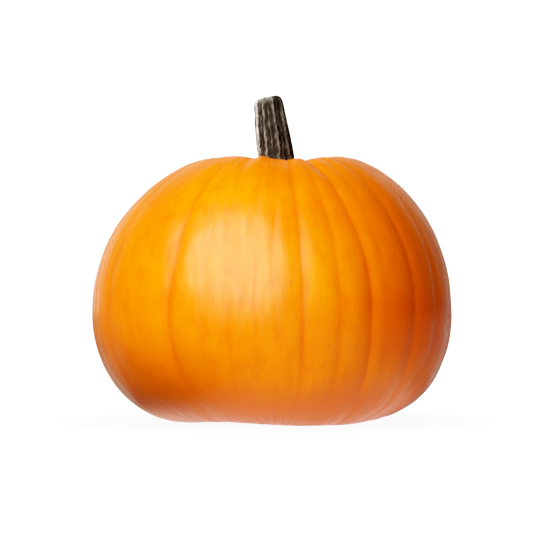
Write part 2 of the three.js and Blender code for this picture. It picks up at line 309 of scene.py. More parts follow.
def skin_relief(rib, across, angle, row):
    """Height over the smooth outline, a share across a rib."""
    crown_share = smooth_step(rise_share(row.height), CROWN_START, 1)
    nearest = groove_at(rib if across < 0.5 else rib + 1)
    crease = nearest.crease * pinch(across, CREASE_SOFTNESS) ** CREASE_SHARPNESS
    crown = nearest.crown * math.cos(math.pi * across) ** 2
    dip = mixed(groove_at(rib).dip, groove_at(rib + 1).dip, smooth_step(across, 0, 1))
    dip -= LOBE_HEIGHT * math.exp(-(((angle - LOBE_ANGLE) / LOBE_WIDTH) ** 2))
    depth = mixed(crease, crown, crown_share) + valley_depth(rib, angle, row.height)
    depth = depth * mixed(1, BASE_DEPTH_SHARE, fall_share(row.height) ** 2) + dip * crown_share
    turn = math.radians(angle)
    girth = TWO_SIDED_SWELL * math.sin(2 * turn) + THREE_SIDED_SWELL * math.cos(3 * turn)
    rest = REST_WAVE * math.cos(REST_PLACES * math.radians(angle - REST_ANGLE))
    relief = girth * row.normal.x ** 2 + rest * min(row.normal.y, 0) ** 2 - depth
    return relief * smooth_step(row.radius, *(STEM_FADE if row.height > BELLY_HEIGHT else BLOSSOM_FADE))


middle_row = rows[RINGS // 2]
middle_relief = skin_relief(7, 0, FRONT_GROOVES[7].angle, middle_row)
print(f"relief in groove 7, half way along the outline: {middle_relief:.1f} mm")

# %% [markdown]
# Real rind is never as fair as a formula. Broad shallow dents make a reflection wander, and faint
# ripples along the ribs break its edge into streaks. Noise from mathutils is the same on every run.
# The blossom end also has its scar: a small corky ring where the flower sat.

# %% Unevenness in millimetres
from mathutils import noise

DENT_SIZE = 26
DENT_DEPTH = 0.35
BLOTCH_SIZE = Vector((8, 8, 18))
BLOTCH_DEPTH = 0.2
RIPPLES = 11
RIPPLE_LENGTH = 60
RIPPLE_DEPTH = 0.15
SCAR_RADIUS = 9
SCAR_WIDTH = 3
SCAR_MIDDLE = 4
SCAR_HEIGHT = 1.2


def skin_unevenness(angle, row):
    turn = math.radians(angle)
    round_x, round_y = math.sin(turn), -math.cos(turn)
    place = Vector((row.radius * round_x, row.radius * round_y, row.height))
    dents = noise.noise(place / DENT_SIZE)
    blotches = noise.noise([length / size for length, size in zip(place, BLOTCH_SIZE)])
    ripples = noise.noise((RIPPLES * round_x, RIPPLES * round_y, row.height / RIPPLE_LENGTH))
    uneven = DENT_DEPTH * dents + BLOTCH_DEPTH * blotches + RIPPLE_DEPTH * ripples
    uneven *= smooth_step(row.radius, *BLOSSOM_FADE)
    if row.height < BELLY_HEIGHT:
        scar = math.exp(-(((row.radius - SCAR_RADIUS) / SCAR_WIDTH) ** 2))
        uneven += SCAR_HEIGHT * scar * clamped(row.radius / SCAR_MIDDLE)
    return uneven


print(f"unevenness at the front: {skin_unevenness(0, middle_row):.2f} mm")

# %% [markdown]
# A place on the skin is now one sum: the outline, lifted by the relief and the unevenness, and turned
# to its angle. The fruit is also a little bent: its crown and its base sit to the right of the belly.

# %% A place on the skin
MM = 0.001
CROWN_BEND = 5
BASE_BEND = 2


def skin_place(rib, across, row):
    """A place on the skin in metres, a share across a rib."""
    angle = mixed(groove_angle(rib, row.height), groove_angle(rib + 1, row.height), across)
    lift = skin_relief(rib, across, angle, row) + skin_unevenness(angle, row)
    radius = row.radius + row.normal.x * lift
    height = max(row.height + row.normal.y * lift, 0)
    aside = CROWN_BEND * rise_share(row.height) ** 2 + BASE_BEND * fall_share(row.height) ** 2
    turn = math.radians(angle)
    return Vector((radius * math.sin(turn) + aside, -radius * math.cos(turn), height)) * MM


groove_place = [round(value, 4) for value in skin_place(7, 0, middle_row)]
print("groove 7, half way along the outline, in metres:", groove_place)

# %% [markdown]
# ## The skin as a mesh
# A UV sphere is the natural start: its rings become rows of the outline and its segments become places
# across the ribs, with poles that are already closed. Every vertex still knows its ring and its segment
# from where it sits on the sphere, so it can be sent straight to its place on the fruit. Segments are
# crowded towards the creases, where the form turns fastest. Two attributes stay on the mesh for the
# rind: how much shade is painted into the groove where a vertex lies, and its lap, a circle round the
# fruit and a share up it.

# %% Grow the fruit
import bmesh

RIB_STEPS = 14
CROWDING = 0.6
# How much painted shade a valley gives its groove.
VALLEY_SHADE = 0.6
CREASE_NARROWNESS = 4
CREASE_CROWN_FADE = 0.5
CREASE_FALL_FADE = (0.3, 0.9)
segments = len(grooves) * RIB_STEPS


def crease_shade(rib, across, row):
    """How much shade is painted into a groove: 1 in a deep one, 0 on the ribs and at both ends."""
    nearest = groove_at(rib if across < 0.5 else rib + 1)
    strength = clamped(VALLEY_SHADE * nearest.valley + nearest.crease)
    faded = CREASE_CROWN_FADE * rise_share(row.height)
    faded += smooth_step(fall_share(row.height), *CREASE_FALL_FADE)
    narrow = abs(2 * across - 1) ** CREASE_NARROWNESS
    return strength * (1 - faded) * narrow * smooth_step(row.radius, *STEM_FADE)


fruit_shape = bmesh.new()
bmesh.ops.create_uvsphere(fruit_shape, u_segments=segments, v_segments=RINGS, radius=1)
# The crease attribute carries the painted shade of the grooves.
crease_shade_layer = fruit_shape.verts.layers.float.new("crease")
lap_layer = fruit_shape.verts.layers.float_vector.new("lap")
for vertex in fruit_shape.verts:
    ring = round(math.acos(max(-1, min(1, -vertex.co.z))) / math.pi * RINGS)
    segment = round(math.atan2(vertex.co.x, -vertex.co.y) / math.tau * segments) % segments
    rib, step = divmod(segment, RIB_STEPS)
    across = step / RIB_STEPS
    across -= CROWDING * math.sin(math.tau * across) / math.tau
    lap_turn = math.tau * (rib + across) / len(grooves)
    vertex[crease_shade_layer] = crease_shade(rib, across, rows[ring])
    vertex[lap_layer] = (math.cos(lap_turn), math.sin(lap_turn), ring / RINGS)
    vertex.co = skin_place(rib, across, rows[ring])
print(f"fruit: {len(fruit_shape.verts)} vertices, {len(fruit_shape.faces)} faces")

# %% [markdown]
# The solid fruit is centred on its own box, so the skin is moved until the middles of the two boxes
# agree. The same move will place the stem. An object's place stays in its mesh: the object itself
# sits at the origin.

# %% Place the skin on the solid fruit
import bpy


def middle_of(corners):
    low = Vector(map(min, zip(*corners)))
    high = Vector(map(max, zip(*corners)))
    return (low + high) / 2


def finished_piece(name, shape):
    """A smooth-shaded object of a finished bmesh, at the origin."""
    bmesh.ops.recalc_face_normals(shape, faces=shape.faces)
    for face in shape.faces:
        face.smooth = True
    mesh = bpy.data.meshes.new(name)
    shape.to_mesh(mesh)
    shape.free()
    piece = bpy.data.objects.new(name, mesh)
    bpy.context.scene.collection.objects.link(piece)
    return piece


grown_middle = middle_of([vertex.co for vertex in fruit_shape.verts])
solid_middle = middle_of(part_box("fruit"))
to_solid = Vector((solid_middle.x - grown_middle.x, solid_middle.y - grown_middle.y, 0))
bmesh.ops.translate(fruit_shape, vec=to_solid, verts=fruit_shape.verts)
fruit = finished_piece("fruit_skin", fruit_shape)
print("fruit moved by", [round(value / MM, 2) for value in to_solid], "mm")

# %% [markdown]
# ## The stem
# The stem is a dry, ridged stalk that flares into lobes where it joins the fruit and ends in a rough
# slanted cut. It could be an extruded star, but ridges that fade, wander and flare are easier on a spun
# outline: a chain of vertices down one side, turned round the axis, whose points are then moved.

# %% Outline of the stem
STEM_LENGTH = 54.5
STEM_SUNK = 6
STEM_FOOT = Vector((17.5, -STEM_SUNK))
STEM_WAIST = Vector((14.4, 11))
STEM_NECK = Vector((12.0, 46))
STEM_RIM = Vector((7.4, STEM_LENGTH))
STEM_DISH = 1.6
STEM_OUTLINE = [
    Turn(Vector((0, -STEM_SUNK)), Vector((0, 0)), Vector((6, 0))),
    Turn(STEM_FOOT, Vector((-6, 0)), Vector((-2.4, 4))),
    Turn(STEM_WAIST, Vector((0, -7)), Vector((-0.2, 11))),
    Turn(STEM_NECK, Vector((0.8, -11)), Vector((-0.3, 5.6))),
    Turn(STEM_RIM, Vector((2.6, 0)), Vector((-2.4, 0))),
    Turn(Vector((0, STEM_LENGTH - STEM_DISH)), Vector((2.4, 0)), Vector((0, 0))),
]
STEM_STEPS = 18
RIDGES = 9
RIDGE_SEGMENTS = 24
SAME_PLACE = 0.001

stem_shape = bmesh.new()
chain = [stem_shape.verts.new((place.x, 0, place.y)) for place in curve_points(STEM_OUTLINE, STEM_STEPS)]
edges = [stem_shape.edges.new(pair) for pair in zip(chain, chain[1:])]
bmesh.ops.spin(
    stem_shape,
    geom=chain + edges,
    axis=(0, 0, 1),
    cent=(0, 0, 0),
    angle=math.tau,
    steps=RIDGES * RIDGE_SEGMENTS,
    use_merge=True,
)
bmesh.ops.remove_doubles(stem_shape, verts=stem_shape.verts, dist=SAME_PLACE)
print(f"stem: {len(stem_shape.verts)} vertices, {len(stem_shape.faces)} faces")

# %% [markdown]
# Nine ridges run up the stem, with a thin one in each furrow between them. They twist, wander and kink
# a little as they rise, as dry fibre does. All of this is one angle and one height: where a vertex lies
# between two crests, and how near it is to a crest. Noise on a circle round the stem has no seam.

# %% Ridges of the stem
RIDGE_PHASE = 10
RIDGE_TWIST = 8
RIDGE_SHARPNESS = 2.6
THIN_RIDGE = 0.5
THIN_SHARPNESS = 4
WANDER = 3
WANDER_LENGTH = 14
KINK = 6
KINKS = 3
KINK_LENGTH = 2.4


def round_noise(turn, circle, rise):
    """Noise round the stem: a larger circle makes it finer."""
    return noise.noise((circle * math.cos(turn), circle * math.sin(turn), rise))


def ridge_angle(turn, height):
    """The angle of a place on the stem, as the twisted and kinked ridges count it."""
    twist = RIDGE_PHASE + RIDGE_TWIST * height / STEM_LENGTH
    twist += WANDER * round_noise(turn, 1, height / WANDER_LENGTH)
    twist += KINK * round_noise(turn, KINKS, height / KINK_LENGTH)
    return turn - math.radians(twist)


def crest_height(ridge_turn):
    """1 on a ridge, half that on a thin one, and lowest in the furrows between."""
    swell = 0.5 + 0.5 * math.cos(RIDGES * ridge_turn)
    return swell ** RIDGE_SHARPNESS + THIN_RIDGE * (1 - swell) ** THIN_SHARPNESS


print(f"crests: {crest_height(0):.1f} on a ridge, {crest_height(math.pi / RIDGES):.1f} on a thin one")

# %% [markdown]
# Each vertex is drawn in from the crests by the depth of the furrow that it lies in. Finer fibres run
# beside the ridges, and the cut is uneven with a pith in its middle. The whole stem then leans to its
# place on the fruit. The height of the crest and the cut are kept on the mesh for the material.

# %% Shape the stem
RIDGE_HEIGHT = 2.1
RIDGE_VARIATION = 0.25
FOOT_LOBES = 1.4
FIBRE_DEPTH = 0.6
FIBRES = 6
FIBRE_WAVES = 2
CUT_HEIGHTS = (STEM_LENGTH - 2.5, STEM_LENGTH - 1.5)
CUT_EDGE = (6, 9)
CUT_ROUGHNESS = 0.5
CUT_GRAIN = 1.6
CUT_LAYER = 3
PITH_EDGE = (1.9, 3.4)
PITH_DEPTH = 2.2
STEM_FOOT_X = 3.6
STEM_LEAN = Vector((-7.6, 2))
STEM_CUT_SLANT = 0.2
SLANT_CURVE = 3

crest_layer = stem_shape.verts.layers.float.new("crest")
cut_layer = stem_shape.verts.layers.float.new("cut")
lap_layer = stem_shape.verts.layers.float_vector.new("lap")
for vertex in stem_shape.verts:
    radius, height = math.hypot(vertex.co.x, vertex.co.y), vertex.co.z
    turn = math.atan2(vertex.co.x, -vertex.co.y)
    rise = height / STEM_LENGTH
    ridge_turn = ridge_angle(turn, height)
    crest = crest_height(ridge_turn)
    lobes = 1 + FOOT_LOBES * smooth_step(height, STEM_WAIST.y, -STEM_SUNK)
    furrow = RIDGE_HEIGHT * lobes * (1 - RIDGE_VARIATION * math.sin(2 * ridge_turn)) * (1 - crest)
    furrow -= FIBRE_DEPTH * round_noise(ridge_turn, FIBRES, rise * FIBRE_WAVES)
    radius = max(radius - furrow * smooth_step(radius, 0, STEM_RIM.x), 0)
    on_cut = smooth_step(height, *CUT_HEIGHTS) * (1 - smooth_step(radius, *CUT_EDGE))
    x, y = radius * math.sin(turn), -radius * math.cos(turn)
    height += STEM_CUT_SLANT * x * max(rise, 0) ** SLANT_CURVE
    height += on_cut * CUT_ROUGHNESS * noise.noise((x / CUT_GRAIN, y / CUT_GRAIN, CUT_LAYER))
    height -= on_cut * PITH_DEPTH * (1 - smooth_step(radius, *PITH_EDGE))
    vertex[crest_layer] = crest
    vertex[cut_layer] = on_cut
    vertex[lap_layer] = (math.cos(ridge_turn), math.sin(ridge_turn), rise)
    lean = STEM_LEAN * rise
    vertex.co = Vector((x + STEM_FOOT_X + lean.x, y + lean.y, height + SEAT_HEIGHT)) * MM
bmesh.ops.translate(stem_shape, vec=to_solid, verts=stem_shape.verts)
stem = finished_piece("stem_stalk", stem_shape)
print("stem reaches", round(max(vertex.co.z for vertex in stem.data.vertices) / MM, 1), "mm up")

# %% [markdown]
# ## A small way to write shaders
# A material is a net of nodes, and a few lines of arithmetic can need a dozen of them. This class
# wraps one socket, so that `1 - mask` or `mask * 0.5` adds its Math node by itself, and one method
# makes any other node from its type, its settings and what goes into its sockets.

# %% Shader wires


class Wire:
    """A socket of a node tree, or its blank start. Arithmetic on it adds Math nodes."""

    def __init__(self, tree, socket=None):
        self.tree = tree
        self.socket = socket

    def make(self, kind, settings, sockets, output=0):
        """A new node. Settings come first, because some of them change its sockets."""
        node = self.tree.nodes.new(kind)
        for name, value in settings.items():
            setattr(node, name, value)
        for name, value in sockets.items():
            if isinstance(value, Wire):
                self.tree.links.new(value.socket, node.inputs[name])
            else:
                node.inputs[name].default_value = value
        return Wire(self.tree, node.outputs[output]) if len(node.outputs) else None

    def maths(self, operation, *values):
        return self.make("ShaderNodeMath", {"operation": operation}, dict(enumerate(values)))

    def __add__(self, other):
        return self.maths("ADD", self, other)

    def __sub__(self, other):
        return self.maths("SUBTRACT", self, other)

    def __rsub__(self, other):
        return self.maths("SUBTRACT", other, self)

    def __mul__(self, other):
        return self.maths("MULTIPLY", self, other)

    __radd__ = __add__
    __rmul__ = __mul__

    def between(self, start, end):
        """0 where the value is at start, 1 at end, smooth between."""
        sockets = {"Value": self, "From Min": start, "From Max": end}
        return self.make("ShaderNodeMapRange", {"interpolation_type": "SMOOTHSTEP"}, sockets)

    def tint(self, first, second):
        """A colour: first where the value is 0, second where it is 1."""
        return self.make("ShaderNodeMix", {"data_type": "RGBA"}, {0: self, 6: first, 7: second}, 2)

    def part(self, axis):
        """One of the three numbers of a vector: X, Y or Z."""
        return self.make("ShaderNodeSeparateXYZ", {}, {0: self}, axis)

    def stretched(self, scale):
        """A vector, multiplied along its three directions."""
        return self.make("ShaderNodeVectorMath", {"operation": "MULTIPLY"}, {0: self, 1: scale})

    def patch(self, middle, reach):
        """1 at a place and 0 from a distance on, for a wire of places."""
        sockets = {0: self, 1: middle}
        away = self.make("ShaderNodeVectorMath", {"operation": "DISTANCE"}, sockets, "Value")
        return away.between(reach, 0)

    def noise(self, scale, detail=2, roughness=0.5):
        """Cloudy noise over a vector, about 0.5 on average."""
        sockets = {"Vector": self, "Scale": scale, "Detail": detail, "Roughness": roughness}
        return self.make("ShaderNodeTexNoise", {}, sockets)


print("a wire can:", ", ".join(name for name in vars(Wire) if not name.startswith("_")))

# %% [markdown]
# Every material here starts from an empty net, reads places in space or attributes of its own mesh,
# and ends in one shader. Three small helpers say just that.

# %% Start and end of a material


def new_material(name):
    """A material with an empty tree, and the wire that starts its nodes."""
    material = bpy.data.materials.new(name)
    material.use_nodes = True
    material.node_tree.nodes.clear()
    return material, Wire(material.node_tree)


def attribute(start, name, output):
    return start.make("ShaderNodeAttribute", {"attribute_name": name}, {}, output)


def finish_material(start, sockets):
    """Ends the net in one Principled shader with the given sockets."""
    shader = start.make("ShaderNodeBsdfPrincipled", {}, sockets)
    start.make("ShaderNodeOutputMaterial", {}, {"Surface": shader})


print("helpers:", new_material.__name__, attribute.__name__, finish_material.__name__)

# %% [markdown]
# ## The rind
# Ripe rind is a saturated orange under a thin clear wax. A single noise would look like paint, so each
# pattern is made the way it grows: clouds, mottle, flecks and pores in space, and streaks on the
# mesh's own lap attribute, so they follow the ribs and have no seam.

# %% Rind patterns
CLOUD_SCALE = 28
FLECK_SCALE = 260
PORE_SCALE = 420
MOTTLE_STRETCH = (110, 110, 60)
STREAK_STRETCH = (22, 22, 9)
HAIR_STRETCH = (80, 80, 30)
CORK_EDGE = (0.045, 0.025)
CORK_SHARE = 0.85

RindPatterns = namedtuple("RindPatterns", "place lap clouds mottle streaks hairs flecks pores cork")


def rind_patterns(start):
    place = start.make("ShaderNodeTexCoord", {}, {}, "Object")
    lap = attribute(start, "lap", "Vector")
    return RindPatterns(
        place=place,
        lap=lap,
        clouds=place.noise(CLOUD_SCALE, 3),
        mottle=place.stretched(MOTTLE_STRETCH).noise(1, 3, 0.6),
        streaks=lap.stretched(STREAK_STRETCH).noise(1, 4, 0.6),
        hairs=lap.stretched(HAIR_STRETCH).noise(1, 3, 0.65),
        flecks=place.noise(FLECK_SCALE, 1),
        pores=place.noise(PORE_SCALE, 2),
        cork=lap.part("Z").between(*CORK_EDGE) * CORK_SHARE,
    )


print("rind patterns:", ", ".join(RindPatterns._fields[2:]))

# %% [markdown]
# The colours are linear light, as shaders want them, with very little blue: what looks like a warm
# orange on the screen is nearly pure red and green light.

# %% Rind colours
RIPE = (0.84, 0.210, 0.002, 1)
GOLDEN = (0.88, 0.235, 0.003, 1)
# A lighter orange for two patches on the front: painted light.
PAINTED_LIGHT = (0.92, 0.30, 0.004, 1)
# A deeper orange: the rind's own mottle and streaks, and painted shade on the right flank and low on the
# left.
DEEP_AND_SHADED = (0.70, 0.145, 0.002, 1)
# A deeper red for a band low on the right: painted shade.
RUDDY_SHADE = (0.66, 0.085, 0.002, 1)
# A pale pinkish orange for the underside: a painted reflection of the floor.
PAINTED_FLOOR_REFLECTION = (0.70, 0.15, 0.03, 1)
# A darker orange for the grooves: painted shade on top of their slightly deeper colour.
CREASE_SHADE = (0.62, 0.10, 0.001, 1)
STRAW = (0.70, 0.34, 0.05, 1)
FLECK = (0.40, 0.15, 0.01, 1)
CORK = (0.36, 0.22, 0.10, 1)
print("ripe orange, linear:", RIPE[:3])

# %% [markdown]
# The colour is laid on in thin coats, each with a mask that says where it shows and how strongly. It
# wanders in clouds and deepens in mottle and streaks. Two lighter patches on the front are painted
# light. The right flank, a redder band low on the right and the low left are darker: painted shade.
# The grooves are darker too, painted shade on top of their slightly deeper orange. Underneath, a pale
# pinkish coat is a painted reflection of the floor. Right round the stem the rind pales to straw, and
# the blossom scar is cork. Places are in metres, as Object coordinates are.

# %% Coats of the rind
# Two lighter patches on the front are painted light.
PAINTED_LIGHT_PATCHES = [((0.036, -0.132, 0.112), 0.045), ((-0.042, -0.098, 0.182), 0.05)]
PAINTED_LIGHT_SHARE = 0.65
# The right flank is darker: painted shade.
PAINTED_SHADE_RIGHT = (0.04, 0.16)
PAINTED_SHADE_RIGHT_CLOUDS = 0.05
# A redder band low on the right flank: painted shade.
RUDDY_SIDE = (0.05, 0.1)
RUDDY_FOOT = (0.035, 0.06)
RUDDY_TOP = (0.11, 0.085)
# Low on the left the rind is darker: painted shade.
PAINTED_SHADE_LOW_LEFT = (-0.05, 0)
PAINTED_SHADE_LEFT_TILT = -0.35
PAINTED_SHADE_LEFT_CLOUDS = 0.03
# Towards the bottom the rind is paler and pinker: a painted reflection of the floor.
UNDERSIDE = (0.05, 0.015)
UNDERSIDE_TILT = 0.12
UNDERSIDE_CLOUDS = 0.02
STRAW_EDGE = (0.91, 0.95)


def rind_colour(start, rind):
    aside, height, along = rind.place.part("X"), rind.place.part("Z"), rind.lap.part("Z")
    # Painted shade: darker on the right flank.
    painted_shade_right = (aside + PAINTED_SHADE_RIGHT_CLOUDS * rind.clouds).between(*PAINTED_SHADE_RIGHT)
    # Painted shade: darker low on the left.
    painted_shade_low_left = (PAINTED_SHADE_LEFT_TILT * aside - height + PAINTED_SHADE_LEFT_CLOUDS * (rind.clouds - 0.5)).between(*PAINTED_SHADE_LOW_LEFT)
    # Painted shade: a redder band low on the right.
    ruddy_shade = aside.between(*RUDDY_SIDE) * height.between(*RUDDY_FOOT) * height.between(*RUDDY_TOP)
    # Painted reflection of the floor on the underside.
    underside = height - UNDERSIDE_TILT * aside + UNDERSIDE_CLOUDS * rind.clouds
    coats = [
        (rind.clouds.between(0.3, 0.7), GOLDEN),
        # Painted light: two lighter patches on the front.
        *((rind.place.patch(middle, reach) * PAINTED_LIGHT_SHARE, PAINTED_LIGHT) for middle, reach in PAINTED_LIGHT_PATCHES),
        (rind.mottle.between(0.45, 0.75) * 0.45, DEEP_AND_SHADED),
        (rind.streaks.between(0.4, 0.75) * 0.3, DEEP_AND_SHADED),
        (rind.hairs.between(0.5, 0.8) * 0.15, DEEP_AND_SHADED),
        # Painted shade on the right flank.
        (painted_shade_right * 0.8, DEEP_AND_SHADED),
        # Painted shade low on the left.
        (painted_shade_low_left * 0.7, DEEP_AND_SHADED),
        # Painted shade: a redder band low on the right.
        (ruddy_shade * 0.5, RUDDY_SHADE),
        # Painted reflection of the floor on the underside.
        (underside.between(*UNDERSIDE), PAINTED_FLOOR_REFLECTION),
        # Painted shade in the grooves, on top of their slightly deeper orange.
        (attribute(start, "crease", "Fac") * 0.7, CREASE_SHADE),
        (rind.flecks.between(0.7, 0.8) * 0.35, FLECK),
        (along.between(*STRAW_EDGE) * 0.5, STRAW),
        (rind.cork, CORK),
    ]
    colour = RIPE
    for mask, coat in coats:
        colour = mask.tint(colour, coat)
    return colour


print("honey patches at", [middle for middle, reach in PAINTED_LIGHT_PATCHES])

# %% [markdown]
# The wax shows as a low roughness, a little higher in the streaks, and the cork is dull. Pores and
# fine streaks are too small for the mesh, so they are a faint bump, which only shows close up.

# %% Rind material
WAX_ROUGHNESS = 0.235
STREAK_ROUGHNESS = 0.16
CORK_ROUGHNESS = 0.3
RIND_BUMP = {"Strength": 0.12, "Distance": 0.0006}


def rind_material():
    material, start = new_material("waxy_orange_rind")
    rind = rind_patterns(start)
    dullness = STREAK_ROUGHNESS * rind.streaks.between(0.35, 0.65) + CORK_ROUGHNESS * rind.cork
    grain = rind.pores * 0.5 + rind.hairs * 0.5
    sockets = {
        "Base Color": rind_colour(start, rind),
        "Roughness": WAX_ROUGHNESS + dullness,
        "Normal": start.make("ShaderNodeBump", {}, {**RIND_BUMP, "Height": grain}),
    }
    finish_material(start, sockets)
    return material


fruit.data.materials.append(rind_material())
print("rind nodes:", len(fruit.data.materials[0].node_tree.nodes))

# %% [markdown]
# ## The dry stem
# A cut stem dries to grey-tan ridges with nearly black furrows between them. The crest attribute
# separates the two, and fibres and threads stretched along the stem break both up. The cut itself is
# bleached. The left edge of the stem and the left of the cut's edge are pale grey: painted light. The
# right side is darker towards the cut: painted shade, which also keeps the cut dark there. As on the
# rind, these are coats over one colour, the furrows'.

# %% Coats of the stem
FURROW = (0.022, 0.017, 0.010, 1)
BARK = (0.048, 0.039, 0.027, 1)
RIDGE = (0.185, 0.165, 0.135, 1)
# Bleached grey-tan for the crests and the cut, and also painted light on the left of the cut's edge.
BLEACHED_AND_LIT = (0.42, 0.39, 0.34, 1)
# A pale grey for the left edge of the stem: painted light.
LIT_EDGE = (0.60, 0.58, 0.54, 1)
# The right side towards the cut is darker: painted shade.
STEM_SHADE_SIDE = (0.2, 0.5)
STEM_SHADE_RISE = (0.7, 0.95)
# The left edge of the stem is pale: painted light.
LIT_EDGE_SIDE = (-0.95, -0.99)
# The edge of the cut is pale on its left: painted light.
RIM_RISE = (0.9, 1)
RIM_SIDE = (0.3, 0)


def stem_colour(start, lap, fibres, threads):
    crest, cut = attribute(start, "crest", "Fac"), attribute(start, "cut", "Fac")
    sideways, rise = lap.part("Y"), lap.part("Z")
    # Painted shade: darker on the right towards the cut.
    stem_shade = (sideways + 0.3 * fibres).between(*STEM_SHADE_SIDE) * rise.between(*STEM_SHADE_RISE)
    height = 0.5 * crest + 0.22 * fibres + 0.5 * threads - 0.25 * stem_shade
    # Painted light: the left edge of the stem is pale grey.
    lit_edge = (sideways + 0.06 * (threads - 0.5)).between(*LIT_EDGE_SIDE)
    # Painted light: the edge of the cut is pale on its left.
    rim = rise.between(*RIM_RISE) * sideways.between(*RIM_SIDE)
    coats = [
        (height.between(0.18, 0.55), BARK),
        (height.between(0.5, 0.9), RIDGE),
        (height.between(0.85, 1.2), BLEACHED_AND_LIT),
        # Painted light on the left edge of the stem.
        (lit_edge * height.between(0.1, 0.5), LIT_EDGE),
        # Painted light on the left of the cut's edge.
        (rim * 0.6, BLEACHED_AND_LIT),
        # The cut is bleached, but not where the painted shade on the right reaches it.
        (cut * (1 - stem_shade) * 0.7, BLEACHED_AND_LIT),
    ]
    colour = FURROW
    for mask, coat in coats:
        colour = mask.tint(colour, coat)
    return colour


print("furrow brown, linear:", FURROW[:3])

# %% [markdown]
# Fibres and threads are noise on the stem's lap, stretched so that they run up the ridges. The same
# threads make the bump, so light and colour agree, and the crests are worn a little smoother than the
# furrows.

# %% Stem material
FIBRE_STRETCH = (5, 5, 2.5)
THREAD_STRETCH = (15, 15, 6)
SPECK_SCALE = 700
STEM_ROUGHNESS = 0.9
CREST_POLISH = 0.2
STEM_BUMP = {"Strength": 0.6, "Distance": 0.0012}


def stem_material():
    material, start = new_material("dry_ridged_stem")
    lap = attribute(start, "lap", "Vector")
    fibres = lap.stretched(FIBRE_STRETCH).noise(1, 3, 0.6).between(0.3, 0.7)
    threads = lap.stretched(THREAD_STRETCH).noise(1, 3, 0.7).between(0.34, 0.66)
    specks = start.make("ShaderNodeTexCoord", {}, {}, "Object").noise(SPECK_SCALE, 2)
    grain = 0.6 * threads + 0.3 * fibres + 0.1 * specks
    sockets = {
        "Base Color": stem_colour(start, lap, fibres, threads),
        "Roughness": STEM_ROUGHNESS - CREST_POLISH * attribute(start, "crest", "Fac"),
        "Normal": start.make("ShaderNodeBump", {}, {**STEM_BUMP, "Height": grain}),
    }
    finish_material(start, sockets)
    return material


stem.data.materials.append(stem_material())
print("stem nodes:", len(stem.data.materials[0].node_tree.nodes))

# %% [markdown]
# ## Tie the pieces to the model
# Both pieces belong to the one rigid body of the packed model. Each stands for its solid, which stays
# behind for collision.

# %% Ride and replace
for piece, node, finish in ((fruit, "fruit", "skin"), (stem, "stem", "dry_stem")):
    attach(piece, "root")
    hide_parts(node)
print("pieces:", fruit.name, stem.name)

# %% [markdown]
# ## The camera
# The picture was taken level with the belly: the front of the crown hides the foot of the stem. A
# long lens from a step and a half away flattens the form as in the picture. The aim is a little up and
# to the right of the fruit's middle, which puts the pumpkin where the picture has it.

# %% Camera level with the belly
PICTURE_PIXELS = 560
FOCAL_PIXELS = 2061
SENSOR = 36
CAMERA_DISTANCE = 1.6
BELLY_PIXEL = (272.6, 313.0)

belly = Vector((to_solid.x, to_solid.y, BELLY_HEIGHT * MM))
metres_per_pixel = CAMERA_DISTANCE / FOCAL_PIXELS
aim = belly + metres_per_pixel * Vector(
    (PICTURE_PIXELS / 2 - BELLY_PIXEL[0], 0, BELLY_PIXEL[1] - PICTURE_PIXELS / 2)
)
camera = bpy.data.objects.new("camera", bpy.data.cameras.new("camera"))
camera.data.sensor_width = SENSOR
camera.data.lens = SENSOR * FOCAL_PIXELS / PICTURE_PIXELS
camera.location = belly + Vector((0, -CAMERA_DISTANCE, 0))
camera.rotation_euler = (aim - camera.location).to_track_quat("-Z", "Y").to_euler()
bpy.context.scene.collection.objects.link(camera)
bpy.context.scene.camera = camera
print(f"lens {camera.data.lens:.0f} mm")

# %% [markdown]
# ## The studio
# One very large soft box stands at the front left and makes the broad rounded patch of gloss on the
# rind. Ovals suit it better than squares, whose corners would show in the gloss. A smaller box lights
# the back, so that side is good to look at too. It is kept out of reflections, or it would draw a
# second spot of gloss.

# %% Soft boxes
from mathutils import Quaternion

BOX_DISTANCE = 2.4


def soft_box(name, turn, rise, size, roll, watts):
    """An oval light that faces the belly. Turn 0 is the front, and a minus is to the left."""
    turn, rise = math.radians(turn), math.radians(rise)
    flat = math.cos(rise)
    towards = Vector((math.sin(turn) * flat, -math.cos(turn) * flat, math.sin(rise)))
    box = bpy.data.objects.new(name, bpy.data.lights.new(name, "AREA"))
    box.data.shape = "ELLIPSE"
    box.data.size, box.data.size_y = size
    box.data.energy = watts
    box.location = belly + BOX_DISTANCE * towards
    facing = towards.to_track_quat("Z", "Y")
    box.rotation_euler = (facing @ Quaternion((0, 0, 1), math.radians(roll))).to_euler()
    box.visible_camera = False
    bpy.context.scene.collection.objects.link(box)
    return box


front_box = soft_box("front_box", turn=-28, rise=32.8, size=(4.05, 2.7), roll=-28, watts=129)
back_box = soft_box("back_box", turn=163, rise=12, size=(1.6, 1.6), roll=0, watts=60)
back_box.visible_glossy = False
print("soft boxes at", [[round(value, 2) for value in box.location] for box in (front_box, back_box)])

# %% [markdown]
# The room in front is dim, so the orange stays deep, and a white sweep behind gives the pale rims. It
# could be a bent sheet, but here it is the world itself, brighter behind than in front, so it is never
# in the way when the camera walks round. The camera sees the world as plain white all over.

# %% White sweep
SWEEP_LEFT = 0.82
SWEEP_RIGHT = 0.4
SWEEP_TOP_LEFT = -0.36
SWEEP_TOP_RIGHT = 0.25
SWEEP_BACK = (0.5, 0.85)
SWEEP_SIDES = (-0.6, 0.6)
SWEEP_TOP = (0.1, 0.5)
ROOM_BRIGHTNESS = 0.015
SWEEP_SEEN = 1.5

